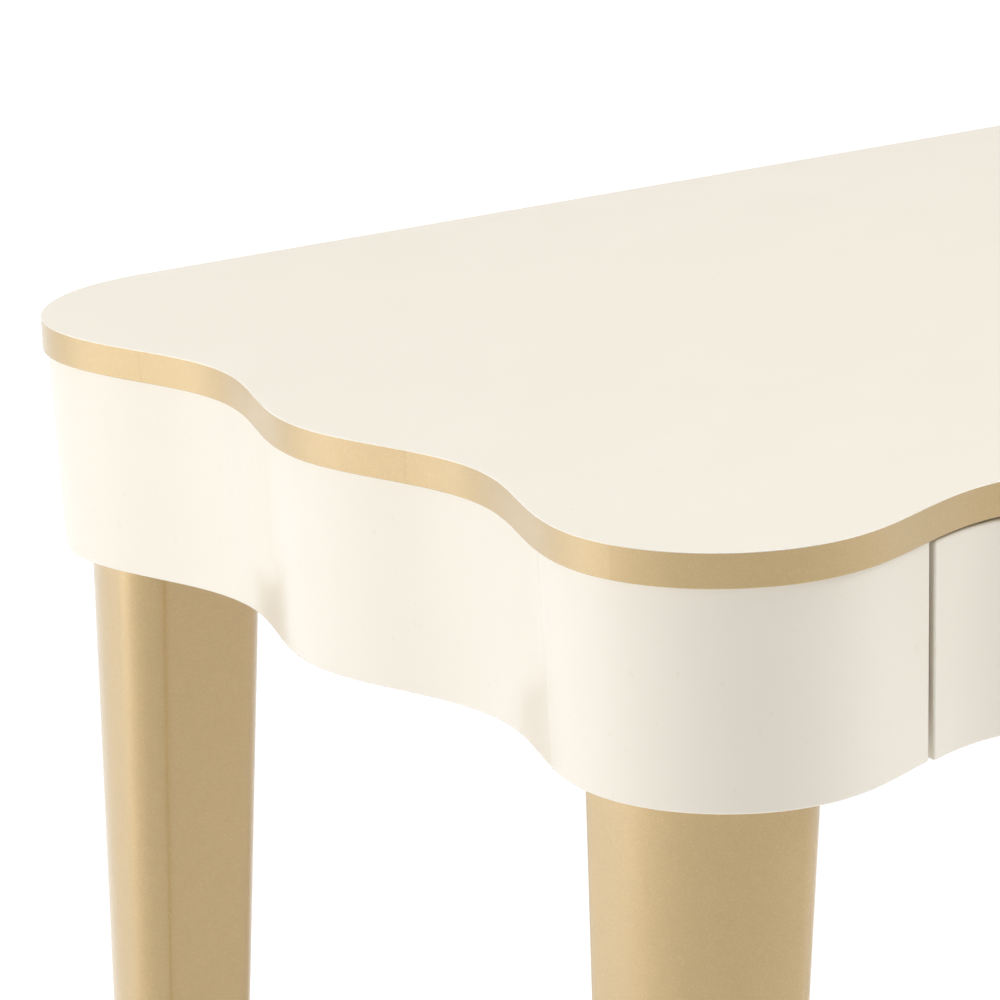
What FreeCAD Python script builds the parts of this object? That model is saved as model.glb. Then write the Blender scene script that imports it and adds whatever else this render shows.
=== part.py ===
import FreeCAD, Part
import math
import os

# Scalloped dressing table: a waved top with a champagne edge, a waved apron, three drawers on
# telescopic runners and four tapered legs. Millimetres, +Z up, front towards -Y, origin on the
# floor under the middle of the table.

Vec = FreeCAD.Vector

# ---- driving dimensions -------------------------------------------------------------------
WIDTH = 1200.0           # crest to crest, left to right
DEPTH = 590.0            # front crests to the straight back edge
HEIGHT = 760.0           # floor to the top surface
TOP_T = 15.0             # thickness of the top, and so of its champagne edge
SKIN_T = 0.8             # lacquered face that laps over the edge band
BAND_T = 2.5             # edge band, measured into the top
APRON_H = 95.5           # apron height under the top
APRON_T = 6.0            # bent apron shell
INSET_TOP = 2.5          # apron face behind the top's edge, at the top of the apron
INSET_LOW = 5.6          # the same at the bottom: the apron leans in by 3.1 mm

SIDE_SWING = 22.6        # crest to valley of the side wave
FRONT_SWING = 29.0       # crest to valley of the front wave
SIDE_WAVES = 2           # whole waves between the side's first and last crest
FRONT_WAVES = 5          # whole waves between the two corner crests of the front
CORNER_X = 75.5          # half-width of a front corner's rounding
CORNER_Y = 79.0          # half-depth of a front corner's rounding
BACK_X = 85.0            # half-width of a back corner's rounding
BACK_Y = 78.5            # half-depth of a back corner's rounding

LEG_X, LEG_Y = 71.5, 84.0        # leg section where it meets the apron
LEG_FOOT = 0.53                  # foot section as a share of the top section
LEG_ROUND = 55.0                 # radius of the leg's outer corner at the top
LEG_EASE = 14.0                  # radius of its other three corners
BACK_LEG_EASE = 19.0             # radius of a back leg's front outer corner
LEG_IN_X, LEG_IN_Y = 11.9, 15.2  # leg's outer faces behind the top's crests
BACK_LEG_Y = 217.8               # centre of a back leg at its top
SPLAY_X, SPLAY_Y = 27.0, -3.6    # how far out a foot stands from the leg's top centre
TENON_X, TENON_Y, TENON_H = 36.0, 44.0, 10.0   # stub of the leg inside the apron
GLIDE_R, GLIDE_T = 11.0, 5.0

BLOCK_T = 40.0           # corner block
BOLT_R = 4.0             # M8 hanger bolt
BOLT_GAP = 28.0          # between the two bolts of a leg
BOLT_IN_LEG, BOLT_OVER = 45.0, 10.0
NUT_R, NUT_T = 7.5, 6.5
WASHER_R, WASHER_T = 9.0, 1.6

DRAWER_EDGE = 461.5      # middle of the outer reveal of the side drawers
GAP = 2.6                # reveal beside each drawer front
GAP_TOP = 1.6            # reveal over a drawer front
PROUD = 1.0              # drawer faces stand this far out of the apron face
DROP = 0.6               # and reach this far below the apron
FRONT_BACK_Y = -246.0    # flat back of every drawer front
CASE_FRONT_Y = -245.5    # front edge of the inner frame
CASE_BACK_Y = 255.0
PANEL_T = 15.0           # end panels and dividers
RAIL_W = 60.0            # top and bottom rails, front to back
LOW_RAIL_Z, LOW_RAIL_T = 651.0, 14.0
TOP_RAIL_T = 10.0
TOP_RAIL_HALF = 545.0
LOW_RAIL_HALF = 475.0

BOX_T = 12.0             # drawer box boards
BOX_Z0, BOX_Z1 = 669.0, 729.0
BOX_LENGTH = 400.0
BOTTOM_Z, BOTTOM_T, GROOVE = 675.0, 5.0, 5.0
PULL_W, PULL_D, PULL_H = 200.0, 12.0, 9.0   # finger groove under a drawer front
RUNNER_SPACE = 12.7      # between a case wall and a drawer side
RUNNER_L = 380.0
STEEL_T = 1.2

SCREW_R, SCREW_HEAD_R, SCREW_HEAD_T, SCREW_L = 2.0, 4.0, 2.2, 22.0
TOP_SCREWS_X = (-510.0, -300.0, 0.0, 300.0, 510.0)

# ---- sizes that follow --------------------------------------------------------------------
HALF_W, HALF_D = WIDTH / 2, DEPTH / 2
UNDER_TOP = HEIGHT - TOP_T
APRON_LOW = UNDER_TOP - APRON_H
CREST_X = -HALF_W + CORNER_X            # where the front wave starts, on a crest
CREST_Y = -HALF_D + CORNER_Y            # where the side wave ends, on a crest
BACK_CREST_Y = HALF_D - BACK_Y          # where the side wave starts, on a crest
DRAWER_SPLIT = DRAWER_EDGE / 3          # middle of the reveal between two drawers
CASE_END = DRAWER_EDGE - 3.4            # outer face of an end panel, behind the reveal
CASE_SPLIT = DRAWER_SPLIT + PANEL_T / 2  # outer face of a divider, centred on its reveal
LEG_TOP = APRON_LOW + TENON_H
LEG_CENTRE_X = -HALF_W + LEG_IN_X + LEG_X / 2
LEG_CENTRE_Y = -HALF_D + LEG_IN_Y + LEG_Y / 2
SAMPLES = 26             # spline points to each section of the outline


# ---- the waved outline --------------------------------------------------------------------
def half_outline(u):
    """A point of the left half: u 0..1 back corner, 1..2 side, 2..3 front corner, 3..4 front."""
    section, f = min(int(u), 3), u - min(int(u), 3)
    if section == 0:
        a = math.radians(90 + 90 * f)
        return -HALF_W + BACK_X + BACK_X * math.cos(a), BACK_CREST_Y + BACK_Y * math.sin(a)
    if section == 1:
        swing = SIDE_SWING / 2 * (1 - math.cos(2 * math.pi * SIDE_WAVES * f))
        return -HALF_W + swing, BACK_CREST_Y + (CREST_Y - BACK_CREST_Y) * f
    if section == 2:
        a = math.radians(180 + 90 * f)
        return CREST_X + CORNER_X * math.cos(a), CREST_Y + CORNER_Y * math.sin(a)
    swing = FRONT_SWING / 2 * (1 - math.cos(math.pi * FRONT_WAVES * f))
    return CREST_X * (1 - f), -HALF_D + swing


def outline(u):
    """The whole outline, u 0..8, from the left end of the back edge round to its right end."""
    if u <= 4:
        return half_outline(u)
    x, y = half_outline(8 - u)
    return -x, y


def inset_point(u, inset, z):
    """The outline's point at u, moved square to the outline by inset."""
    step = 1e-4
    (xa, ya), (xb, yb) = outline(max(0.0, u - step)), outline(min(8.0, u + step))
    run = math.hypot(xb - xa, yb - ya)
    x, y = outline(u)
    return Vec(x - (yb - ya) / run * inset, y + (xb - xa) / run * inset, z)


def wave_edge(u0, u1, inset, z):
    count = max(4, round(abs(u1 - u0) * SAMPLES))
    curve = Part.BSplineCurve()
    curve.interpolate([inset_point(u0 + (u1 - u0) * k / count, inset, z) for k in range(count + 1)])
    return curve.toShape()


def line(a, b):
    return Part.makeLine(a, b)


def closed_outline(inset, z):
    return Part.Wire([wave_edge(0, 8, inset, z), line(inset_point(8, inset, z), inset_point(0, inset, z))])


def apron_wire(u0, u1, inset, z):
    """Section of the bent apron shell between two places on the outline."""
    outer, inner = wave_edge(u0, u1, inset, z), wave_edge(u1, u0, inset + APRON_T, z)
    return Part.Wire([
        outer,
        line(inset_point(u1, inset, z), inset_point(u1, inset + APRON_T, z)),
        inner,
        line(inset_point(u0, inset + APRON_T, z), inset_point(u0, inset, z)),
    ])


def apron_piece(u0, u1):
    low, top = apron_wire(u0, u1, INSET_LOW, APRON_LOW), apron_wire(u0, u1, INSET_TOP, UNDER_TOP)
    return Part.makeLoft([low, top], True, True)


def box(x0, x1, y0, y1, z0, z1):
    return Part.makeBox(x1 - x0, y1 - y0, z1 - z0, Vec(x0, y0, z0))


def mirrored(shape):
    return shape.mirror(Vec(0, 0, 0), Vec(1, 0, 0))


def save(name, *solids):
    shape = solids[0] if len(solids) == 1 else Part.makeCompound(list(solids))
    shape.exportStep(f"parts/{name}.step")


# ---- top ----------------------------------------------------------------------------------
def screw(x, y, z, up):
    """Countersunk screw whose head is flush at z. Its point goes up, or towards -Y."""
    direction = Vec(0, 0, 1) if up else Vec(0, -1, 0)
    at = Vec(x, y, z)
    head = Part.makeCone(SCREW_HEAD_R, SCREW_R, SCREW_HEAD_T, at, direction)
    shank = Part.makeCylinder(SCREW_R, SCREW_L, at, direction)
    return head.fuse(shank).removeSplitter()


def top_screws():
    rails_y = (CASE_FRONT_Y + RAIL_W / 2, CASE_BACK_Y - RAIL_W / 2)
    return [screw(x, y, UNDER_TOP - TOP_RAIL_T, True) for y in rails_y for x in TOP_SCREWS_X]


def make_top(screws):
    skin_z = HEIGHT - SKIN_T
    core = Part.Face(closed_outline(BAND_T, UNDER_TOP)).extrude(Vec(0, 0, TOP_T - SKIN_T))
    skin = Part.Face(closed_outline(0.0, skin_z)).extrude(Vec(0, 0, SKIN_T))
    panel = core.fuse(skin)
    for s in screws:
        panel = panel.cut(s)
    ring = Part.Face([closed_outline(0.0, UNDER_TOP), closed_outline(BAND_T, UNDER_TOP)])
    save("top_panel", panel)
    save("edge_band", ring.extrude(Vec(0, 0, TOP_T - SKIN_T)))


# ---- apron --------------------------------------------------------------------------------
def make_apron():
    """Three bent pieces a side, butted where the side wave turns outwards, and a straight back."""
    back_seam, front_seam = 1.39, 1.92
    beyond_gap = 3.4
    corner = apron_piece(front_seam, beyond_gap)
    corner = corner.common(box(-HALF_W, -DRAWER_EDGE - GAP / 2, -HALF_D, 0, 0, HEIGHT))
    pieces = {
        "apron_front_corner": corner,
        "apron_side": apron_piece(back_seam, front_seam),
        "apron_back_corner": apron_piece(0, back_seam),
    }
    for name, piece in pieces.items():
        save(name + "_left", piece)
        save(name + "_right", mirrored(piece))
    half = HALF_W - BACK_X
    wires = []
    for inset, z in ((INSET_LOW, APRON_LOW), (INSET_TOP, UNDER_TOP)):
        y1, y0 = HALF_D - inset, HALF_D - inset - APRON_T
        corners = [Vec(-half, y0, z), Vec(half, y0, z), Vec(half, y1, z), Vec(-half, y1, z), Vec(-half, y0, z)]
        wires.append(Part.makePolygon(corners))
    save("back_rail", Part.makeLoft(wires, True, True))


# ---- legs ---------------------------------------------------------------------------------
def leg_section(cx, cy, scale, z, outer_y):
    """Rounded rectangle whose corner at -X and at outer_y's side has the large radius."""
    hx, hy = LEG_X / 2 * scale, LEG_Y / 2 * scale
    side = BACK_LEG_EASE if outer_y > 0 else LEG_EASE
    radii = [r * scale for r in (LEG_ROUND, LEG_EASE, LEG_EASE, side)]
    corners = [(-1, -1), (1, -1), (1, 1), (-1, 1)]
    at = lambda x, y: Vec(cx + x, cy - outer_y * y, z)
    ends, edges = [], []
    for (sx, sy), r in zip(corners, radii):
        x, y, q = sx * (hx - r), sy * (hy - r), r * math.sqrt(0.5)
        along_y, along_x = at(sx * hx, y), at(x, sy * hy)
        first, last = (along_y, along_x) if sx * sy > 0 else (along_x, along_y)
        edges.append(Part.Arc(first, at(x + sx * q, y + sy * q), last).toShape())
        ends.append((first, last))
    sides = [line(ends[k][1], ends[(k + 1) % 4][0]) for k in range(4)]
    return Part.Wire([e for pair in zip(edges, sides) for e in pair])


def make_legs():
    """Four legs with their glides, blocks, bolts, washers and nuts."""
    glides, bolts, nuts = [], [], []
    inner = Part.Face(closed_outline(INSET_LOW + APRON_T, LEG_TOP))
    places = {"front": (LEG_CENTRE_Y, -1), "back": (BACK_LEG_Y, 1)}
    for where, (cy, outer_y) in places.items():
        foot_x, foot_y = LEG_CENTRE_X - SPLAY_X, cy + outer_y * SPLAY_Y
        top = leg_section(LEG_CENTRE_X, cy, 1.0, APRON_LOW, outer_y)
        foot = leg_section(foot_x, foot_y, LEG_FOOT, GLIDE_T, outer_y)
        leg = Part.makeLoft([foot, top], True, True)
        tenon = box(LEG_CENTRE_X - TENON_X / 2, LEG_CENTRE_X + TENON_X / 2, cy - TENON_Y / 2,
                    cy + TENON_Y / 2, APRON_LOW, LEG_TOP)
        leg = leg.fuse(tenon)
        reach_y = sorted((outer_y * HALF_D, cy - outer_y * (LEG_Y / 2 + 12)))
        tile = box(-HALF_W, -LOW_RAIL_HALF, reach_y[0], reach_y[1], LEG_TOP, LEG_TOP + BLOCK_T)
        block = inner.extrude(Vec(0, 0, BLOCK_T)).common(tile)
        own_bolts, own_nuts = [], []
        for dy in (-BOLT_GAP / 2, BOLT_GAP / 2):
            foot_of_bolt = Vec(LEG_CENTRE_X, cy + dy, LEG_TOP - BOLT_IN_LEG)
            bolt = Part.makeCylinder(BOLT_R, BOLT_IN_LEG + BLOCK_T + BOLT_OVER, foot_of_bolt)
            seat = Vec(LEG_CENTRE_X, cy + dy, LEG_TOP + BLOCK_T)
            washer = Part.makeCylinder(WASHER_R, WASHER_T, seat)
            rim = [Vec(NUT_R * math.cos(math.radians(60 * k)), NUT_R * math.sin(math.radians(60 * k)), 0)
                   for k in range(7)]
            nut = Part.Face(Part.makePolygon(rim)).extrude(Vec(0, 0, NUT_T))
            nut.translate(seat + Vec(0, 0, WASHER_T))
            own_bolts.append(bolt)
            own_nuts.append(washer.fuse(nut).cut(bolt))
            leg, block = leg.cut(bolt), block.cut(bolt)
        glide = Part.makeCylinder(GLIDE_R, GLIDE_T, Vec(foot_x, foot_y, 0))
        save(f"leg_{where}_left", leg)
        save(f"leg_{where}_right", mirrored(leg))
        save(f"corner_block_{where}_left", block)
        save(f"corner_block_{where}_right", mirrored(block))
        glides += [glide, mirrored(glide)]
        bolts += own_bolts + [mirrored(b) for b in own_bolts]
        nuts += own_nuts + [mirrored(n) for n in own_nuts]
    save("leg_glides", *glides)
    save("leg_bolts", *bolts)
    save("leg_nuts", *nuts)


# ---- inner frame --------------------------------------------------------------------------
def make_frame(screws):
    rail_z = UNDER_TOP - TOP_RAIL_T
    for where, y0 in (("front", CASE_FRONT_Y), ("back", CASE_BACK_Y - RAIL_W)):
        low_z1 = LOW_RAIL_Z + LOW_RAIL_T
        save(f"low_rail_{where}", box(-LOW_RAIL_HALF, LOW_RAIL_HALF, y0, y0 + RAIL_W, LOW_RAIL_Z, low_z1))
        rail = box(-TOP_RAIL_HALF, TOP_RAIL_HALF, y0, y0 + RAIL_W, rail_z, UNDER_TOP)
        for s in screws:
            rail = rail.cut(s)
        save(f"top_rail_{where}", rail)
    for name, x in (("end_panel", -CASE_END), ("divider", -CASE_SPLIT)):
        panel = box(x, x + PANEL_T, CASE_FRONT_Y, CASE_BACK_Y, LOW_RAIL_Z + LOW_RAIL_T, rail_z)
        save(name + "_left", panel)
        save(name + "_right", mirrored(panel))


# ---- drawers ------------------------------------------------------------------------------
def channel(wall_x, way, x0, x1, web, half_h, length):
    """A steel channel along Y beside a case wall: flanges from x0 to x1, web at x0 or x1."""
    span = lambda a, b: sorted((wall_x + way * a, wall_x + way * b))
    y0, z = CASE_FRONT_Y + 2, (BOX_Z0 + BOX_Z1) / 2
    web_x = span(x0, x0 + STEEL_T) if web == "near" else span(x1 - STEEL_T, x1)
    flange_x = span(x0, x1)
    shape = box(*web_x, y0, y0 + length, z - half_h, z + half_h)
    for z0 in (z - half_h, z + half_h - STEEL_T):
        shape = shape.fuse(box(*flange_x, y0, y0 + length, z0, z0 + STEEL_T))
    return shape.removeSplitter()


def make_runners(name, x0, x1):
    """Case, middle and drawer members, a pair of each, for the opening from x0 to x1."""
    walls = ((x0, 1), (x1, -1))
    save(f"runner_case_{name}", *[channel(x, w, 0.0, 8.0, "near", 17.5, RUNNER_L) for x, w in walls])
    save(f"runner_middle_{name}", *[channel(x, w, 2.6, 10.5, "near", 15.6, RUNNER_L) for x, w in walls])
    save(f"runner_drawer_{name}",
         *[channel(x, w, 5.0, RUNNER_SPACE, "far", 13.0, RUNNER_L) for x, w in walls])


def make_drawer_front(name, u0, u1, x0, x1, screws):
    wires = []
    low_z = APRON_LOW - DROP
    for inset, z in ((INSET_LOW - PROUD, low_z), (INSET_TOP - PROUD, UNDER_TOP)):
        a, b = inset_point(u0, inset, z), inset_point(u1, inset, z)
        a_back, b_back = Vec(a.x, FRONT_BACK_Y, z), Vec(b.x, FRONT_BACK_Y, z)
        wires.append(Part.Wire([wave_edge(u0, u1, inset, z), line(b, b_back), line(b_back, a_back), line(a_back, a)]))
    front = Part.makeLoft(wires, True, True)
    front = front.common(box(x0, x1, -HALF_D, 0, 0, UNDER_TOP - GAP_TOP))
    middle = (x0 + x1) / 2
    pull = box(middle - PULL_W / 2, middle + PULL_W / 2, FRONT_BACK_Y - PULL_D, FRONT_BACK_Y,
               low_z, low_z + PULL_H)
    front = front.cut(pull)
    for s in screws:
        front = front.cut(s)
    save(f"drawer_front_{name}", front)


def make_drawer(name, x0, x1, u0, u1, front_x0, front_x1):
    """One drawer for the case opening from x0 to x1, with its front between front_x0 and front_x1."""
    left, right = x0 + RUNNER_SPACE, x1 - RUNNER_SPACE
    y0, y1 = FRONT_BACK_Y, FRONT_BACK_Y + BOX_LENGTH
    panel = box(left + BOX_T - GROOVE, right - BOX_T + GROOVE, y0 + BOX_T - GROOVE, y1,
                BOTTOM_Z, BOTTOM_Z + BOTTOM_T)
    inner_front = box(left + BOX_T, right - BOX_T, y0, y0 + BOX_T, BOX_Z0, BOX_Z1)
    screw_z = (BOX_Z0 + BOX_Z1) / 2 + 8
    screws = [screw(x, y0 + BOX_T, screw_z, False) for x in (left + 60, right - 60)]
    for s in screws:
        inner_front = inner_front.cut(s)
    save(f"drawer_side_left_{name}", box(left, left + BOX_T, y0, y1, BOX_Z0, BOX_Z1).cut(panel))
    save(f"drawer_side_right_{name}", box(right - BOX_T, right, y0, y1, BOX_Z0, BOX_Z1).cut(panel))
    save(f"drawer_inner_front_{name}", inner_front.cut(panel))
    save(f"drawer_back_{name}",
         box(left + BOX_T, right - BOX_T, y1 - BOX_T, y1, BOTTOM_Z + BOTTOM_T, BOX_Z1))
    save(f"drawer_bottom_{name}", panel)
    save(f"drawer_screws_{name}", *screws)
    make_drawer_front(name, u0, u1, front_x0, front_x1, screws)
    make_runners(name, x0, x1)


def make_drawers():
    u_edge = 4 - DRAWER_EDGE / -CREST_X    # place of the outer reveal on the outline
    u_split = 4 - DRAWER_SPLIT / -CREST_X
    spare = 0.03
    side_x0, side_x1 = -CASE_END + PANEL_T, -CASE_SPLIT
    edge, split = DRAWER_EDGE - GAP / 2, DRAWER_SPLIT + GAP / 2
    middle_x = CASE_SPLIT - PANEL_T
    make_drawer("left", side_x0, side_x1, u_edge - spare, u_split + spare, -edge, -split)
    make_drawer("middle", -middle_x, middle_x, u_split - spare, 8 - u_split + spare,
                -split + GAP, split - GAP)
    make_drawer("right", -side_x1, -side_x0, 8 - u_split - spare, 8 - u_edge + spare, split, edge)


os.makedirs("parts", exist_ok=True)
fixings = top_screws()
save("top_screws", *fixings)
make_top(fixings)
make_apron()
make_legs()
make_frame(fixings)
make_drawers()
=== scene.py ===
import bisect
import math

import bmesh
import bpy
from mathutils import Matrix, Vector


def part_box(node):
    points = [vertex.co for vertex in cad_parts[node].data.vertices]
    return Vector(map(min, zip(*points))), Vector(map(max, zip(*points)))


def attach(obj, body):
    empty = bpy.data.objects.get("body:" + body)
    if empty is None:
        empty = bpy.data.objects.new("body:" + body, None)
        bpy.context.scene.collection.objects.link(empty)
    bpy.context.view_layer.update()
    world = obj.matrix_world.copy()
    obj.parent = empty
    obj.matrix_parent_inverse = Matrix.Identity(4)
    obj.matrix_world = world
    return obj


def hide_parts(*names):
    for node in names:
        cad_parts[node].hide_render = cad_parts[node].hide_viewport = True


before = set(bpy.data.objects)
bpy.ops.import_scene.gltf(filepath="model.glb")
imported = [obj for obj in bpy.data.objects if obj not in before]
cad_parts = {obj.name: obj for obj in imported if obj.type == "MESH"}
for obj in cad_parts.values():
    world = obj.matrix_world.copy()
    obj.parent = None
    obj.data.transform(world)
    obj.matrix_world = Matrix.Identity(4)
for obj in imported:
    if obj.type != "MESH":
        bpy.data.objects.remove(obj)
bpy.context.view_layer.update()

scene = bpy.context.scene
scene.view_settings.view_transform = "Standard"
drawerNames = ("left", "middle", "right")
ends = ("left", "right")
print("frame loaded:", len(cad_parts), "nodes")


class Flow:  # one socket, so that a pattern reads as a sum
    def __init__(self, recipe, socket):
        self.recipe, self.socket = recipe, socket

    def join(self, operation, first, second):
        return self.recipe.node("ShaderNodeMath", {"operation": operation}, {0: first, 1: second})

    def __add__(self, other):
        return self.join("ADD", self, other)

    def __radd__(self, other):
        return self.join("ADD", other, self)

    def __sub__(self, other):
        return self.join("SUBTRACT", self, other)

    def __rsub__(self, other):
        return self.join("SUBTRACT", other, self)

    def __mul__(self, other):
        return self.join("MULTIPLY", self, other)

    def __rmul__(self, other):
        return self.join("MULTIPLY", other, self)

    def clamped(self, low, high):
        return self.join("MINIMUM", self.join("MAXIMUM", self, low), high)


class Recipe:  # one finish and the nodes that make it
    def __init__(self, name):
        self.material = bpy.data.materials.new(name)
        self.material.use_nodes = True
        self.tree = self.material.node_tree
        self.tree.nodes.clear()
        self.place = self.node("ShaderNodeTexCoord", out="Object")

    def node(self, kind, settings=None, sockets=None, out=0):
        made = self.tree.nodes.new(kind)
        for key, value in (settings or {}).items():
            setattr(made, key, value)
        for key, value in (sockets or {}).items():
            if isinstance(value, Flow):
                self.tree.links.new(value.socket, made.inputs[key])
            else:
                made.inputs[key].default_value = value
        return Flow(self, made.outputs[out]) if made.outputs else None

    def stretched(self, scale):
        return self.node("ShaderNodeMapping", {}, {"Vector": self.place, "Scale": scale})

    def noise(self, scale, detail=2.0, rough=0.5, vector=None):
        sockets = {"Vector": vector or self.place, "Scale": scale, "Detail": detail, "Roughness": rough}
        return self.node("ShaderNodeTexNoise", {}, sockets)

    def mix(self, share, first, second):
        colour = lambda value: value if isinstance(value, Flow) else (*value, 1)
        sockets = {0: share, 6: colour(first), 7: colour(second)}
        return self.node("ShaderNodeMix", {"data_type": "RGBA"}, sockets, out=2)

    def bump(self, height, depth, strength=1.0):
        sockets = {"Height": height, "Distance": depth, "Strength": strength}
        return self.node("ShaderNodeBump", {}, sockets)

    def finish(self, **sockets):
        names = {name.replace("_", " "): value for name, value in sockets.items()}
        shader = self.node("ShaderNodeBsdfPrincipled", {}, names)
        self.node("ShaderNodeOutputMaterial", {}, {"Surface": shader})
        return self.material


# finishes

def creamLacquer():
    look = {"warm": (0.818, 0.758, 0.645), "cool": (0.836, 0.784, 0.688), "fleck": (0.76, 0.68, 0.55)}
    paint = Recipe("creamLacquer")
    drift = paint.noise(3.2, 3.0, 0.55)  # slow change of tone from the spray gun
    cloud = paint.noise(21.0, 3.0, 0.6)
    peel = paint.noise(620.0, 2.0, 0.5)  # orange peel, about 1.5 mm
    dust = paint.noise(230.0, 1.0, 0.4)
    nib = (dust - 0.735).clamped(0.0, 0.05) * 14.0  # a dust nib here and there under the coat
    tone = paint.mix((drift * 0.7 + cloud * 0.3).clamped(0.0, 1.0), look["warm"], look["cool"])
    normal = paint.bump(peel * 0.5 + cloud * 0.9 + nib * 0.6, 0.00008, 0.55)
    return paint.finish(Base_Color=paint.mix(nib * 0.5, tone, look["fleck"]), Normal=normal,
                        Roughness=0.30 + cloud * 0.10 + peel * 0.05, Coat_Weight=0.75,
                        Coat_Roughness=0.24, Coat_IOR=1.55, IOR=1.47)


def champagneLacquer():
    look = {"deep": (0.426, 0.283, 0.096), "light": (0.575, 0.400, 0.154), "glint": (0.74, 0.60, 0.38)}
    paint = Recipe("champagneLacquer")
    flakes = paint.node("ShaderNodeTexVoronoi", {}, {"Vector": paint.place, "Scale": 2900.0}, out=1)
    shade = paint.node("ShaderNodeSeparateColor", {}, {"Color": flakes})
    drift = paint.noise(5.0, 3.0, 0.6)
    mottle = paint.noise(140.0, 2.0, 0.6)
    depth = (shade * 0.30 + mottle * 0.30 + drift * 0.40).clamped(0.0, 1.0)
    body = paint.mix(depth, look["deep"], look["light"])
    glint = (shade - 0.93).clamped(0.0, 0.07) * 3.0  # painted glint: the few flakes with the highest random value get a lighter base colour, standing in for flakes that face the light
    normal = paint.bump(shade * 0.35 + paint.noise(700.0, 2.0) * 0.65, 0.00010, 0.5)
    return paint.finish(Base_Color=paint.mix(glint, body, look["glint"]), Normal=normal,
                        Metallic=0.34 + shade * 0.20, Roughness=0.38 + mottle * 0.10,
                        Coat_Weight=1.0, Coat_Roughness=0.22, Coat_IOR=1.75)


def boardWood(name, along, light, dark, ring, rough):
    wood = Recipe(name)
    long, fine = (1.3, 16.0), (14.0, 420.0)
    scaleOf = lambda pair: tuple(pair[0] if axis == along else pair[1] for axis in "XYZ")
    wander = wood.noise(1.0, 4.0, 0.6, wood.stretched(scaleOf(long)))
    fibre = wood.noise(1.0, 3.0, 0.65, wood.stretched(scaleOf(fine)))
    bands = wood.node("ShaderNodeMath", {"operation": "SINE"}, {0: wander * ring})
    grain = (bands * 0.28 + 0.36 + fibre * 0.32).clamped(0.0, 1.0)
    pores = (fibre - 0.60).clamped(0.0, 0.4) * 1.6
    colour = wood.mix(pores, wood.mix(grain, light, dark), tuple(0.55 * part for part in dark))
    normal = wood.bump(fibre * -0.8 + grain * 0.3, 0.0003, 0.5)
    return wood.finish(Base_Color=colour, Normal=normal, Roughness=rough + fibre * 0.15,
                       Coat_Weight=0.08, Coat_Roughness=0.35)


def plyEdge(name, across):
    wood = Recipe(name)
    axes = wood.node("ShaderNodeSeparateXYZ", {}, {"Vector": wood.place}, out="XYZ".index(across))
    warp = wood.noise(30.0, 2.0)
    layer = wood.node("ShaderNodeMath", {"operation": "SINE"}, {0: axes * 3900.0 + warp * 1.2})
    speck = wood.noise(900.0, 2.0, 0.6)
    share = (layer * 0.7 + 0.5 + (speck - 0.5) * 0.5).clamped(0.0, 1.0)
    colour = wood.mix(share, (0.66, 0.49, 0.29), (0.42, 0.27, 0.14))
    return wood.finish(Base_Color=colour, Normal=wood.bump(share * 0.5 + speck, 0.0002, 0.5),
                       Roughness=0.62 + speck * 0.2)


def zincSteel():
    metal = Recipe("zincSteel")
    rolled = metal.noise(1.0, 3.0, 0.6, metal.stretched((900.0, 14.0, 900.0)))
    bloom = metal.noise(55.0, 4.0, 0.65)
    dull = (bloom * 0.7 + rolled * 0.3).clamped(0.0, 1.0)
    colour = metal.mix(dull, (0.44, 0.46, 0.49), (0.70, 0.71, 0.72))
    return metal.finish(Base_Color=colour, Metallic=0.96 - bloom * 0.1, Roughness=0.24 + bloom * 0.22,
                        Normal=metal.bump(rolled, 0.00005, 0.6))


def threadedSteel():
    metal = Recipe("threadedSteel")
    height = metal.node("ShaderNodeSeparateXYZ", {}, {"Vector": metal.place}, out=2)
    turn = metal.node("ShaderNodeMath", {"operation": "SINE"}, {0: height * 5027.0})  # 1.25 mm pitch
    bloom = metal.noise(90.0, 3.0, 0.6)
    # painted shade and highlight: the colour follows the thread, darker in the roots and lighter on the
    # crests
    colour = metal.mix(turn * 0.3 + 0.5, (0.34, 0.35, 0.37), (0.68, 0.69, 0.70))
    return metal.finish(Base_Color=colour, Metallic=0.95 - bloom * 0.08, Roughness=0.28 + bloom * 0.2,
                        Normal=metal.bump(turn, 0.0004, 0.9))


def mouldedNylon():
    plastic = Recipe("mouldedNylon")
    haze = plastic.noise(70.0, 3.0, 0.6)
    grain = plastic.noise(1500.0, 2.0, 0.5)
    colour = plastic.mix(haze, (0.70, 0.67, 0.60), (0.80, 0.78, 0.72))
    return plastic.finish(Base_Color=colour, Roughness=0.42 + haze * 0.15, Subsurface_Weight=0.1,
                          Subsurface_Scale=0.002, Normal=plastic.bump(grain, 0.00008, 0.6))


def sealedBoard():
    board = Recipe("sealedBoard")
    fibre = board.noise(340.0, 4.0, 0.7)
    wash = board.noise(9.0, 3.0, 0.6)
    colour = board.mix((fibre * 0.5 + wash * 0.5).clamped(0.0, 1.0), (0.62, 0.54, 0.42), (0.76, 0.69, 0.57))
    return board.finish(Base_Color=colour, Roughness=0.55 + fibre * 0.2,
                        Normal=board.bump(fibre + wash * 0.4, 0.0003, 0.6))


cream, champagne, sealed = creamLacquer(), champagneLacquer(), sealedBoard()
zinc, threaded, nylon = zincSteel(), threadedSteel(), mouldedNylon()
beechX = boardWood("beechAcross", "X", (0.66, 0.47, 0.28), (0.45, 0.28, 0.14), 26.0, 0.50)
birchX = boardWood("birchAcross", "X", (0.80, 0.64, 0.43), (0.60, 0.42, 0.24), 22.0, 0.38)
birchY = boardWood("birchAlong", "Y", (0.80, 0.64, 0.43), (0.60, 0.42, 0.24), 22.0, 0.38)
panelY = boardWood("bottomPanel", "Y", (0.83, 0.69, 0.49), (0.66, 0.49, 0.30), 17.0, 0.42)
plyAcrossX, plyAcrossY = plyEdge("plyEdgeSides", "X"), plyEdge("plyEdgeFronts", "Y")
print("finishes mixed:", len(bpy.data.materials))


# the waved outline

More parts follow.
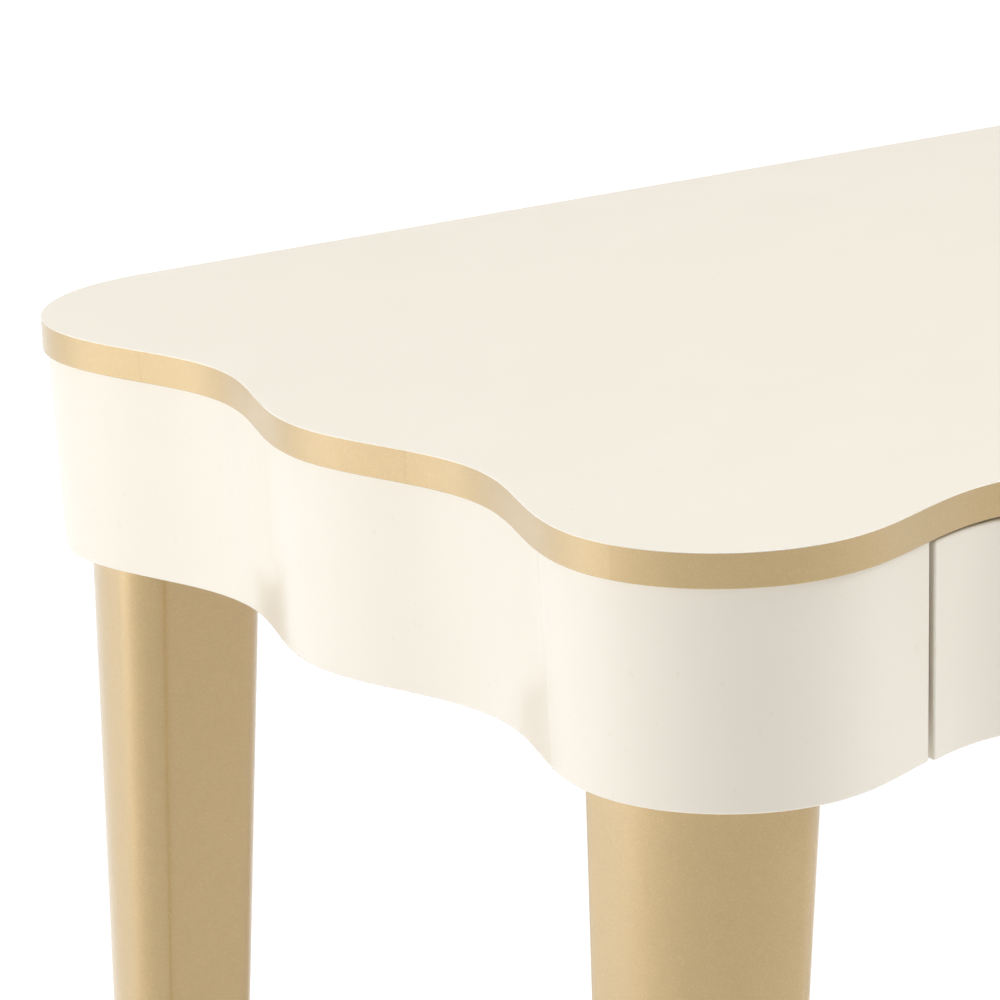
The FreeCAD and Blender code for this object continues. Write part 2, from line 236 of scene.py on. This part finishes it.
bandLow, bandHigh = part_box("edge_band")
halfWidth, halfDepth = bandHigh.x, bandHigh.y
topHigh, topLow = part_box("top_panel")[1].z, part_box("top_panel")[0].z
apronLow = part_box("apron_side_left")[0].z
outlineShape = {"sideSwing": 0.0226, "sideWaves": 2, "frontSwing": 0.0290, "frontWaves": 5,
                "cornerX": 0.0755, "cornerY": 0.0790, "backX": 0.0850, "backY": 0.0785}
rightEnd, fullTurn = 8.0, 9.0  # the places where the back edge starts and ends


def leftHalf(u):  # 0 to 1 back corner, to 2 side, to 3 front corner, to 4 front
    shape = outlineShape
    crestX, crestY = shape["cornerX"] - halfWidth, shape["cornerY"] - halfDepth
    backCrestY = halfDepth - shape["backY"]
    part = min(int(u), 3)
    share = u - part
    if part == 0:
        angle = math.radians(90 + 90 * share)
        return (shape["backX"] - halfWidth + shape["backX"] * math.cos(angle),
                backCrestY + shape["backY"] * math.sin(angle))
    if part == 1:
        swing = shape["sideSwing"] / 2 * (1 - math.cos(2 * math.pi * shape["sideWaves"] * share))
        return swing - halfWidth, backCrestY + (crestY - backCrestY) * share
    if part == 2:
        angle = math.radians(180 + 90 * share)
        return crestX + shape["cornerX"] * math.cos(angle), crestY + shape["cornerY"] * math.sin(angle)
    swing = shape["frontSwing"] / 2 * (1 - math.cos(math.pi * shape["frontWaves"] * share))
    return crestX * (1 - share), swing - halfDepth


def outline(u):
    if u <= 4:
        return leftHalf(u)
    if u <= rightEnd:
        x, y = leftHalf(rightEnd - u)
        return -x, y
    return (halfWidth - outlineShape["backX"]) * (1 - 2 * (u - rightEnd)), halfDepth


def spot(u, inset, z):
    step = 1e-4
    before, after = outline(max(0.0, u - step)), outline(min(fullTurn, u + step))
    if u < step or rightEnd - step < u:
        return Vector((outline(u)[0], outline(u)[1] - inset, z))
    run = math.dist(before, after)
    x, y = outline(u)
    return Vector((x - (after[1] - before[1]) / run * inset, y + (after[0] - before[0]) / run * inset, z))


walkStep = 0.002
walked, walkedTo = [0.0], [0.0]  # places round the outline and the way walked to each
while walked[-1] < fullTurn - 1e-9:
    walked.append(min(fullTurn, walked[-1] + walkStep))
    walkedTo.append(walkedTo[-1] + math.dist(outline(walked[-2]), outline(walked[-1])))


def stations(uFrom, uTo, pitch=0.0042):  # evenly spaced places between two places
    at = lambda u: walkedTo[min(bisect.bisect_left(walked, u), len(walked) - 1)]
    first, last = at(uFrom), at(uTo)
    count = max(2, round((last - first) / pitch))
    marks = [first + (last - first) * k / count for k in range(1, count)]
    return [uFrom] + [walked[bisect.bisect_left(walkedTo, mark)] for mark in marks] + [uTo]


# shared ways of making a piece

easeUnit = 0.001  # an edge's bevel weight of 1 rounds it by this much
weldGap = 2e-6  # points of a CAD mesh closer than this are one
sharpAngle, edgeAngle, flatAngle = (math.radians(degrees) for degrees in (35, 50, 0.5))


def addPiece(name, mesh, finishes, slot, body, *stands, rounded=True):
    piece = bpy.data.objects.new(name, mesh)
    scene.collection.objects.link(piece)
    for finish in finishes:
        mesh.materials.append(finish)
    mesh.polygons.foreach_set("use_smooth", [True] * len(mesh.polygons))
    if rounded:
        bevel = piece.modifiers.new("easedEdges", "BEVEL")
        bevel.limit_method, bevel.width, bevel.segments = "WEIGHT", easeUnit, 3
        bevel.harden_normals = True
    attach(piece, body)
    if stands:
        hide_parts(*stands)


def toMesh(bm, name):
    bmesh.ops.recalc_face_normals(bm, faces=bm.faces)
    mesh = bpy.data.meshes.new(name)
    bm.to_mesh(mesh)
    bm.free()
    mesh.set_sharp_from_angle(angle=sharpAngle)
    return mesh


def loft(bm, rings, eases, endEases, sides=None):
    layers = bm.edges.layers.float
    weight = layers.get("bevel_weight_edge") or layers.new("bevel_weight_edge")
    rows = [[bm.verts.new(point) for point in ring] for ring in rings]
    for a, b in zip(rows, rows[1:]):
        for j in range(len(a)):
            face = bm.faces.new((a[j - 1], a[j], b[j], b[j - 1]))
            face.material_index = sides[j] if sides else 0
        for j, ease in enumerate(eases):
            if ease:
                bm.edges.get((a[j], b[j]))[weight] = ease / easeUnit
    for row, ease in zip((rows[0], rows[-1]), endEases):
        for edge in bm.faces.new(row).edges:
            edge[weight] = ease / easeUnit


def easedCopy(node, body, finishes, slot, ease=0.0006, edgeAxes=""):
    bm = bmesh.new()
    bm.from_mesh(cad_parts[node].data)
    bmesh.ops.remove_doubles(bm, verts=bm.verts, dist=weldGap)
    bmesh.ops.dissolve_limit(bm, angle_limit=flatAngle, verts=bm.verts, edges=bm.edges)
    weight = bm.edges.layers.float.new("bevel_weight_edge")
    for edge in bm.edges:
        if len(edge.link_faces) == 2 and edge.calc_face_angle() > edgeAngle:
            edge[weight] = ease / easeUnit
    for face in bm.faces:
        face.material_index = int(any(abs(face.normal["XYZ".index(axis)]) > 0.9 for axis in edgeAxes))
    mesh = bpy.data.meshes.new(node + "Mesh")
    bm.to_mesh(mesh)
    bm.free()
    if "custom_normal" in mesh.attributes:
        mesh.attributes.remove(mesh.attributes["custom_normal"])
    for layer in list(mesh.uv_layers):
        mesh.uv_layers.remove(layer)
    mesh.set_sharp_from_angle(angle=sharpAngle)
    addPiece(node + "Eased", mesh, finishes, slot, body, node)


def carved(mesh, cutters):  # the mesh less each cutter's box
    body = bpy.data.objects.new("carving", mesh)
    scene.collection.objects.link(body)
    for low, high in cutters:
        bm = bmesh.new()
        bmesh.ops.create_cube(bm, size=1.0)
        for vert in bm.verts:
            vert.co = Vector(a + (b - a) * (c + 0.5) for a, b, c in zip(low, high, vert.co))
        cutter = bpy.data.objects.new("cutter", toMesh(bm, "cutterMesh"))
        scene.collection.objects.link(cutter)
        cut = body.modifiers.new("cut", "BOOLEAN")
        cut.operation, cut.solver, cut.object = "DIFFERENCE", "EXACT", cutter
    graph = bpy.context.evaluated_depsgraph_get()
    made = bpy.data.meshes.new_from_object(body.evaluated_get(graph), depsgraph=graph)
    for cut in body.modifiers:
        bpy.data.objects.remove(cut.object)
    bpy.data.objects.remove(body)
    return made


def turned(profile, count):  # a turned mesh from (radius, height) pairs, closed on the axis
    bm = bmesh.new()
    turns = [2 * math.pi * k / count for k in range(count)]
    rows = []
    for radius, height in profile:
        points = [(radius * math.cos(turn), radius * math.sin(turn), height) for turn in turns]
        rows.append([bm.verts.new(point) for point in (points if radius else [(0, 0, height)])])
    for a, b in zip(rows, rows[1:]):
        for k in range(count):
            corners = [a[k % len(a)], a[(k + 1) % len(a)], b[(k + 1) % len(b)], b[k % len(b)]]
            bm.faces.new(list(dict.fromkeys(corners)))
    return toMesh(bm, "turnedMesh")


def islands(node):  # the box of each separate solid of a CAD node
    bm = bmesh.new()
    bm.from_mesh(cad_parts[node].data)
    bmesh.ops.remove_doubles(bm, verts=bm.verts, dist=weldGap)
    left, boxes = set(bm.verts), []
    while left:
        reach, found = [left.pop()], []
        while reach:
            vert = reach.pop()
            found.append(vert.co.copy())
            beside = {edge.other_vert(vert) for edge in vert.link_edges} & left
            left -= beside
            reach += beside
        boxes.append([Vector(pick(co[k] for co in found) for k in range(3)) for pick in (min, max)])
    bm.free()
    return sorted(boxes, key=lambda pair: tuple(pair[0]))


def newTree(name, inputs):
    tree = bpy.data.node_groups.new(name, "GeometryNodeTree")
    for label, kind in inputs:
        tree.interface.new_socket(label, in_out="INPUT", socket_type="NodeSocket" + kind)
    tree.interface.new_socket("Pieces", in_out="OUTPUT", socket_type="NodeSocketGeometry")
    return tree, tree.nodes.new("NodeGroupInput"), tree.nodes.new("NodeGroupOutput")


def place(tree, kind, settings=None, **links):
    node = tree.nodes.new(kind)
    for key, value in (settings or {}).items():
        setattr(node, key, value)
    for key, value in links.items():
        socket = next(s for s in node.inputs if s.enabled and s.name.replace(" ", "") == key)
        if isinstance(value, bpy.types.NodeSocket):
            tree.links.new(value, socket)
        else:
            socket.default_value = value
    return node


def fixingTree(inputs, name):  # template set on points, each turned its own way
    tree, given, result = newTree(name, inputs)
    take = given.outputs
    if "Spots" in take:
        points = take["Spots"]
    else:
        row = place(tree, "GeometryNodeMeshLine", {"mode": "OFFSET"}, Count=take["Count"],
                    StartLocation=take["Start"], Offset=take["Step"])
        points = row.outputs[0]
    template = place(tree, "GeometryNodeObjectInfo", Object=take["Template"])
    turn = place(tree, "FunctionNodeRandomValue", {"data_type": "FLOAT"}, Min=0.0, Max=math.tau,
                 Seed=take["Seed"])
    spin = place(tree, "ShaderNodeCombineXYZ", Z=next(o for o in turn.outputs if o.enabled))
    put = place(tree, "GeometryNodeInstanceOnPoints", Points=points,
                Instance=template.outputs["Geometry"], Rotation=take["Aim"])
    spun = place(tree, "GeometryNodeRotateInstances", Instances=put.outputs[0], Rotation=spin.outputs[0],
                 LocalSpace=True)
    real = place(tree, "GeometryNodeRealizeInstances", Geometry=spun.outputs[0])
    dressed = place(tree, "GeometryNodeSetMaterial", Geometry=real.outputs[0], Material=take["Finish"])
    tree.links.new(dressed.outputs[0], result.inputs[0])
    return tree


shared = [("Template", "Object"), ("Finish", "Material"), ("Aim", "Vector"), ("Seed", "Int")]
spotTree = fixingTree([("Spots", "Geometry")] + shared, "fixingsOnSpots")
rowInputs = [("Blank", "Geometry"), ("Count", "Int"), ("Start", "Vector"), ("Step", "Vector")]
rowTree = fixingTree(rowInputs + shared, "fixingsInRow")


def grown(tree, spots=(), **values):  # runs the tree and gives its plain mesh
    base = bpy.data.meshes.new("spots")
    base.from_pydata([tuple(point) for point in spots], [], [])
    holder = bpy.data.objects.new("holder", base)
    scene.collection.objects.link(holder)
    modifier = holder.modifiers.new("grow", "NODES")
    modifier.node_group = tree
    for item in tree.interface.items_tree:
        if item.in_out == "INPUT" and item.name in values:
            modifier[item.identifier] = values[item.name]
    graph = bpy.context.evaluated_depsgraph_get()
    mesh = bpy.data.meshes.new_from_object(holder.evaluated_get(graph), depsgraph=graph)
    bpy.data.objects.remove(holder)
    return mesh


def templateOf(mesh, name):
    template = bpy.data.objects.new(name, mesh)
    template.hide_render = True
    return template


print("ways of making ready")

# the top and its band

topShape = {"bandIn": 0.0025, "lap": 0.0004, "lapEase": 0.0003, "underIn": 0.030, "overIn": 0.012,
            "bandEase": 0.0004, "bandTopEase": 0.0001, "jointEase": 0.00002,
            "jointGap": 0.00005, "joints": (0.0, 1.129, 1.655, 2.211)}


def makeTop():
    shape = topShape
    lapLow = topHigh - shape["lap"]
    chain = [(shape["underIn"], topLow), (shape["bandIn"], topLow), (shape["bandIn"], lapLow),
             (0.0, lapLow), (0.0, topHigh), (shape["overIn"], topHigh)]
    bm = bmesh.new()
    weight = bm.edges.layers.float.new("bevel_weight_edge")
    rows = [[bm.verts.new(spot(u, inset, z)) for inset, z in chain] for u in stations(0, fullTurn)[:-1]]
    for a, b in zip(rows, rows[1:] + rows[:1]):
        for j in range(1, len(chain)):
            bm.faces.new((a[j - 1], a[j], b[j], b[j - 1])).material_index = int(j == 1)
        bm.edges.get((a[4], b[4]))[weight] = shape["lapEase"] / easeUnit
    bm.faces.new([row[0] for row in rows]).material_index = 1
    bm.faces.new([row[-1] for row in rows])
    mesh = toMesh(bm, "topPanelMesh")
    addPiece("topPanel", mesh, [cream, sealed], "lacquer_cream", "table", "top_panel")


def makeBand():
    shape = topShape
    joints = [*shape["joints"], *(rightEnd - u for u in reversed(shape["joints"])), fullTurn]
    lapLow, gap = topHigh - shape["lap"], shape["jointGap"]
    bm = bmesh.new()
    for a, b in zip(joints, joints[1:]):
        rings = [[spot(u, 0.0, topLow), spot(u, 0.0, lapLow), spot(u, shape["bandIn"], lapLow),
                  spot(u, shape["bandIn"], topLow)] for u in stations(a + gap, b - gap)]
        loft(bm, rings, (shape["bandEase"], shape["bandTopEase"], 0, 0), [shape["jointEase"]] * 2)
    mesh = toMesh(bm, "edgeBandMesh")
    addPiece("edgeBand", mesh, [champagne], "lacquer_champagne", "table", "edge_band")


makeTop()
makeBand()
print("top and band made")

# the apron

apronShape = {"insetLow": 0.0056, "insetTop": 0.0025, "thick": 0.006, "ease": 0.0011,
              "backEase": 0.0005, "seamEase": 0.00006, "backSeam": 1.39, "frontSeam": 1.92,
              "hairline": 0.00004, "sideRun": 0.43}  # sideRun is the length of a side in metres


halvings = 40  # enough to find a place to a billionth of a millimetre


def placeAt(x, inset):  # where a front line set back by inset crosses this x
    low, high = (3.0, 4.0) if x < 0 else (4.0, 5.0)
    for halving in range(halvings):
        middle = (low + high) / 2
        low, high = (middle, high) if spot(middle, inset, 0).x < x else (low, middle)
    return low


def apronStrip(node, uFrom, uTo, cutX=None):
    shape = apronShape
    loop = [(shape["insetLow"], apronLow), (shape["insetTop"], topLow),
            (shape["insetTop"] + shape["thick"], topLow), (shape["insetLow"] + shape["thick"], apronLow)]
    gap = 0.0 if uFrom == rightEnd else shape["hairline"] / shape["sideRun"]
    rings = [[spot(u, inset, z) for inset, z in loop] for u in stations(uFrom + gap, uTo - gap)]
    endEases = [shape["seamEase"], shape["seamEase"]]
    if cutX is not None:
        ring = [Vector((cutX, spot(placeAt(cutX, inset), inset, z).y, z)) for inset, z in loop]
        end = -1 if cutX < 0 else 0
        rings[end], endEases[end] = ring, shape["ease"]
    bm = bmesh.new()
    loft(bm, rings, (shape["ease"], 0, 0, shape["backEase"]), endEases, sides=(0, 0, 1, 1))
    addPiece(node + "Shell", toMesh(bm, node + "Mesh"), [cream, sealed], "lacquer_cream", "table", node)


def makeApron():
    back, front = apronShape["backSeam"], apronShape["frontSeam"]
    for end, cornerBox in ((side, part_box("apron_front_corner_" + side)) for side in ends):
        cutX = cornerBox[1].x if end == "left" else cornerBox[0].x
        gapPlace = placeAt(cutX, apronShape["insetLow"])
        spans = {"apron_back_corner_": (0.0, back), "apron_side_": (back, front)}
        for name, (a, b) in spans.items():
            uFrom, uTo = (a, b) if end == "left" else (rightEnd - b, rightEnd - a)
            apronStrip(name + end, uFrom, uTo)
        span = (front, gapPlace) if end == "left" else (gapPlace, rightEnd - front)
        apronStrip("apron_front_corner_" + end, *span, cutX=cutX)
    apronStrip("back_rail", rightEnd, fullTurn)


makeApron()
print("apron made")

# the drawers

frontShape = {"proud": 0.0010, "ease": 0.0014, "backEase": 0.0006, "column": 0.004,
              "pullWidth": 0.200, "pullDeep": 0.012, "pullHigh": 0.009, "overCut": 0.01}


def makeDrawerFront(name):
    shape, node = frontShape, "drawer_front_" + name
    low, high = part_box(node)
    lean = (apronShape["insetTop"] - apronShape["insetLow"]) / (topLow - low.z)
    insetLow = apronShape["insetLow"] - shape["proud"]
    insetHigh = insetLow + lean * (high.z - low.z)
    count = round((high.x - low.x) / shape["column"])
    rings = []
    for k in range(count + 1):
        x = low.x + (high.x - low.x) * k / count
        faceLow, faceHigh = (spot(placeAt(x, inset), inset, 0).y for inset in (insetLow, insetHigh))
        rings.append([Vector((x, faceLow, low.z)), Vector((x, faceHigh, high.z)),
                      Vector((x, high.y, high.z)), Vector((x, high.y, low.z))])
    bm = bmesh.new()
    loft(bm, rings, (shape["ease"], shape["ease"], shape["backEase"], 0), [shape["ease"]] * 2)
    middle = (low.x + high.x) / 2
    pull = (Vector((middle - shape["pullWidth"] / 2, high.y - shape["pullDeep"],
                    low.z - shape["overCut"])),
            Vector((middle + shape["pullWidth"] / 2, high.y + shape["overCut"],
                    low.z + shape["pullHigh"])))
    mesh = carved(toMesh(bm, node + "Mesh"), [pull])
    addPiece(node + "Face", mesh, [cream], "lacquer_cream", "drawer_" + name, node)


def makeDrawerBox(name):
    body = "drawer_" + name
    for side in ends:
        easedCopy("drawer_side_" + side + "_" + name, body, [birchY, plyAcrossX], "drawer_ply", 0.0008, "Z")
    easedCopy("drawer_inner_front_" + name, body, [birchX, plyAcrossY], "drawer_ply", 0.0008, "Z")
    easedCopy("drawer_back_" + name, body, [birchX, plyAcrossY], "drawer_ply", 0.0008, "Z")
    easedCopy("drawer_bottom_" + name, body, [panelY], "drawer_panel", 0.0003)
    easedCopy("runner_drawer_" + name, body, [zinc], "zinc_steel", 0.0002)
    easedCopy("runner_middle_" + name, "runner_" + name, [zinc], "zinc_steel", 0.0002)
    easedCopy("runner_case_" + name, "table", [zinc], "zinc_steel", 0.0002)


for name in drawerNames:
    makeDrawerFront(name)
    makeDrawerBox(name)
print("drawers made")

# the legs

legShape = {"width": 0.0715, "depth": 0.0840, "footShare": 0.53, "outerRound": 0.055, "round": 0.014,
            "backSideRound": 0.019, "outerSteps": 22, "steps": 9, "splayX": 0.0270, "splayY": -0.0036,
            "rings": 12, "footEase": 0.0012, "topEase": 0.0004, "tenonX": 0.036, "tenonY": 0.044,
            "tenonEase": 0.0005, "tenonSunk": 0.001}


def legRing(centre, scale, outerY, z):
    shape = legShape
    halfX, halfY = shape["width"] / 2 * scale, shape["depth"] / 2 * scale
    side = shape["backSideRound"] if outerY > 0 else shape["round"]
    ring = []
    for k, (signX, signY) in enumerate(((-1, -1), (1, -1), (1, 1), (-1, 1))):
        radius = (shape["outerRound"], shape["round"], shape["round"], side)[k] * scale
        steps = shape["outerSteps"] if k == 0 else shape["steps"]
        for step in range(steps + 1):
            angle = math.radians(180 + 90 * k + 90 * step / steps)
            x = signX * (halfX - radius) + radius * math.cos(angle)
            y = signY * (halfY - radius) + radius * math.sin(angle)
            ring.append(Vector((centre[0] + x, centre[1] - outerY * y, z)))
    return ring


def makeLeg(node, outerY, mirror):
    shape = legShape
    low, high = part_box(node)
    topX = high.x - shape["width"] / 2 if mirror > 0 else -low.x - shape["width"] / 2
    topY, footZ = (low.y + high.y) / 2, low.z
    bm = bmesh.new()
    rings = []
    for k in range(shape["rings"] + 1):
        share = k / shape["rings"]
        down = 1 - share
        centre = (topX - shape["splayX"] * down, topY + outerY * shape["splayY"] * down)
        scale = 1 - (1 - shape["footShare"]) * down
        ring = legRing(centre, scale, outerY, footZ + (apronLow - footZ) * share)
        rings.append([Vector((mirror * point.x, point.y, point.z)) for point in ring])
    loft(bm, rings, [0] * len(rings[0]), (shape["footEase"], shape["topEase"]))
    halfX, halfY = shape["tenonX"] / 2, shape["tenonY"] / 2
    stub = [[Vector((mirror * topX + a * halfX, topY + b * halfY, z))
             for a, b in ((-1, -1), (1, -1), (1, 1), (-1, 1))]
            for z in (apronLow - shape["tenonSunk"], high.z)]
    loft(bm, stub, [shape["tenonEase"]] * 4, (0, 0))
    mesh = toMesh(bm, node + "Mesh")
    addPiece(node + "Turned", mesh, [champagne], "lacquer_champagne", "table", node)


for where, outerY in (("front", -1), ("back", 1)):
    makeLeg("leg_" + where + "_left", outerY, 1)
    makeLeg("leg_" + where + "_right", outerY, -1)
print("legs made")

# the hidden frame

for where in ("front", "back"):
    easedCopy("low_rail_" + where, "table", [beechX], "frame_wood", 0.0012)
    easedCopy("top_rail_" + where, "table", [beechX], "frame_wood", 0.0010)
    for end in ends:
        easedCopy("corner_block_" + where + "_" + end, "table", [beechX], "frame_wood", 0.0008)
for end in ends:
    easedCopy("end_panel_" + end, "table", [birchY, plyAcrossX], "frame_board", 0.0008, "YZ")
    easedCopy("divider_" + end, "table", [birchY, plyAcrossX], "frame_board", 0.0008, "YZ")
easedCopy("leg_bolts", "table", [threaded], "zinc_steel", 0.0004)
easedCopy("leg_nuts", "table", [zinc], "zinc_steel", 0.0004)
print("frame made")

# screws, rivets and glides

screwShape = {"headRadius": 0.0040, "headLip": 0.0002, "headHigh": 0.0022, "shankRadius": 0.0020,
              "shankLong": 0.009, "tip": 0.001, "crossLong": 0.0026, "crossWide": 0.0005,
              "crossDeep": 0.0012, "overCut": 0.001, "sides": 24}
rivetShape = {"radius": 0.0032, "high": 0.0009, "count": 4, "margin": 0.040, "steel": 0.0012, "sides": 20,
              "dome": ((0, 1), (0.55, 0.86), (0.88, 0.45), (1, 0))}  # shares of radius and height
glideShape = {"radius": 0.0110, "high": 0.0050, "roll": 0.0016, "nailRadius": 0.0032,
              "nailDeep": 0.0012, "lip": 0.0004, "sides": 40}


def screwTemplate():
    shape = screwShape
    head, shank = shape["headRadius"], shape["shankRadius"]
    profile = [(0, 0), (head - shape["headLip"], 0), (head, shape["headLip"]), (shank, shape["headHigh"]),
               (shank, shape["shankLong"]), (0, shape["shankLong"] + shape["tip"])]
    mesh = turned(profile, shape["sides"])
    long, wide, deep = shape["crossLong"], shape["crossWide"], shape["crossDeep"]
    cross = [(Vector((-a, -b, -shape["overCut"])), Vector((a, b, deep)))
             for a, b in ((long, wide), (wide, long))]
    return templateOf(carved(mesh, cross), "screw")


def rivetTemplate():
    radius, high = rivetShape["radius"], rivetShape["high"]
    dome = [(radius * across, high * up) for across, up in rivetShape["dome"]]
    return templateOf(turned(dome + [(0, 0)], rivetShape["sides"]), "rivet")


def glideTemplate():
    shape = glideShape
    radius, high, roll, lip = shape["radius"], shape["high"], shape["roll"], shape["lip"]
    nail, deep = shape["nailRadius"], shape["nailDeep"]
    curve = [(radius - roll + roll * math.sin(math.radians(a)), roll - roll * math.cos(math.radians(a)))
             for a in (0, 22, 45, 68, 90)]
    profile = [(0, deep), (nail, deep), (nail + lip, 0)] + curve
    profile += [(radius, high - lip), (radius - lip, high), (0, high)]
    return templateOf(turned(profile, shape["sides"]), "glide")


def plant(name, tree, slot, body, *stands, spots=(), **values):
    addPiece(name, grown(tree, spots, **values), [], slot, body, *stands, rounded=False)


def makeRivets(node, name, body, template):
    shape = rivetShape
    for number, (low, high) in enumerate(islands(node + name)):
        webIsLow = (number == 0) == (node == "runner_case_")  # number 0 is the left one of the pair
        face = low.x + shape["steel"] if webIsLow else high.x - shape["steel"]
        start = (face, low.y + shape["margin"], (low.z + high.z) / 2)
        step = (0.0, (high.y - low.y - 2 * shape["margin"]) / (shape["count"] - 1), 0.0)
        aim = (0.0, math.pi / 2 if webIsLow else -math.pi / 2, 0.0)
        plant("rivets_" + node + name + str(number), rowTree, "zinc_steel", body, Count=shape["count"],
              Start=start, Step=step, Template=template, Finish=zinc, Aim=aim, Seed=21)


def makeFixings():
    screw, rivet, glide = screwTemplate(), rivetTemplate(), glideTemplate()
    upright = (0.0, 0.0, 0.0)
    heads = [Vector(((a.x + b.x) / 2, (a.y + b.y) / 2, a.z)) for a, b in islands("top_screws")]
    plant("topScrews", spotTree, "zinc_steel", "table", "top_screws", spots=heads, Template=screw,
          Finish=zinc, Aim=upright, Seed=3)
    feet = [Vector(((a.x + b.x) / 2, (a.y + b.y) / 2, a.z)) for a, b in islands("leg_glides")]
    plant("legGlides", spotTree, "glide_nylon", "table", "leg_glides", spots=feet, Template=glide,
          Finish=nylon, Aim=upright, Seed=5)
    for number, name in enumerate(drawerNames):
        node, body = "drawer_screws_" + name, "drawer_" + name
        heads = [Vector(((a.x + b.x) / 2, b.y, (a.z + b.z) / 2)) for a, b in islands(node)]
        plant("drawerScrews_" + name, spotTree, "zinc_steel", body, node, spots=heads, Template=screw,
              Finish=zinc, Aim=(math.pi / 2, 0.0, 0.0), Seed=11 + number)
        makeRivets("runner_case_", name, "table", rivet)
        makeRivets("runner_drawer_", name, body, rivet)
    for template in (screw, rivet, glide):
        bpy.data.objects.remove(template)


makeFixings()
print("fixings made")

# studio

studio = {"floor": 24.0, "air": 0.35, "aim": (-0.3, 0.0, 0.6), "reach": 3.4, "card": 1.8,
          "glow": {"near": 0.19, "far": 0.74, "from": 2.0, "to": 4.5},
          "cards": {"right": (-30, 38, 45.0), "overhead": (0, 90, 77.0), "behind": (90, 38, 21.0),
                    "backLeft": (150, 8, 34.0), "frontLeft": (-120, 38, 4.0), "left": (180, 8, 7.0)}}


def makeFloor():
    glow = studio["glow"]
    white = Recipe("whiteFloor")
    haze = white.noise(1.5, 2.0)
    grain = white.noise(260.0, 2.0)
    away = white.node("ShaderNodeVectorMath", {"operation": "LENGTH"}, {0: white.place}, out=1)
    share = ((away - glow["from"]) * (1 / (glow["to"] - glow["from"]))).clamped(0.0, 1.0)
    shine = white.mix(share, (glow["near"],) * 3, (glow["far"],) * 3)
    paint = white.finish(Base_Color=white.mix(haze, (0.88, 0.88, 0.88), (0.90, 0.90, 0.90)), Roughness=0.7,
                         Emission_Color=shine, Emission_Strength=1.0, Normal=white.bump(grain, 0.0002, 0.3))
    half = studio["floor"] / 2
    bm = bmesh.new()
    corners = ((-half, -half), (half, -half), (half, half), (-half, half))
    bm.faces.new([bm.verts.new((x, y, 0.0)) for x, y in corners])
    mesh = bpy.data.meshes.new("floorMesh")
    bm.to_mesh(mesh)
    bm.free()
    floor = bpy.data.objects.new("floor", mesh)
    scene.collection.objects.link(floor)
    mesh.materials.append(paint)


def makeLights():
    aim = Vector(studio["aim"])
    for name, (azimuth, height, power) in studio["cards"].items():
        turn, rise = math.radians(azimuth), math.radians(height)
        way = Vector((math.cos(turn) * math.cos(rise), math.sin(turn) * math.cos(rise), math.sin(rise)))
        light = bpy.data.lights.new(name, "AREA")
        light.shape, light.size, light.energy = "SQUARE", studio["card"], power
        lamp = bpy.data.objects.new(name, light)
        scene.collection.objects.link(lamp)
        lamp.location = aim + way * studio["reach"]
        lamp.rotation_euler = (-way).to_track_quat("-Z", "Y").to_euler()
        lamp.visible_camera = False
    world = bpy.data.worlds.new("studioAir")
    world.use_nodes = True
    world.node_tree.nodes["Background"].inputs[0].default_value = (1.0, 1.0, 1.0, 1.0)
    world.node_tree.nodes["Background"].inputs[1].default_value = studio["air"]
    scene.world = world


viewpoint = {"at": (-1.73104, -2.00708, 1.36498), "down": 0.2720, "turn": 0.5512, "roll": 0.0378,
             "lens": 199.11}


def makeCamera():
    down, turn, roll = viewpoint["down"], viewpoint["turn"], viewpoint["roll"]
    ahead = Vector((math.sin(turn) * math.cos(down), math.cos(turn) * math.cos(down), -math.sin(down)))
    level = Vector((math.cos(turn), -math.sin(turn), 0.0))
    upright = level.cross(ahead)
    right = level * math.cos(roll) - upright * math.sin(roll)
    up = upright * math.cos(roll) + level * math.sin(roll)
    lens = bpy.data.cameras.new("camera")
    lens.lens, lens.sensor_width, lens.clip_start, lens.clip_end = viewpoint["lens"], 36.0, 0.05, 100.0
    camera = bpy.data.objects.new("camera", lens)
    scene.collection.objects.link(camera)
    turnMatrix = Matrix((right, up, -ahead)).transposed().to_4x4()
    camera.matrix_world = Matrix.Translation(viewpoint["at"]) @ turnMatrix
    scene.camera = camera


makeFloor()
makeLights()
makeCamera()
print("studio set")
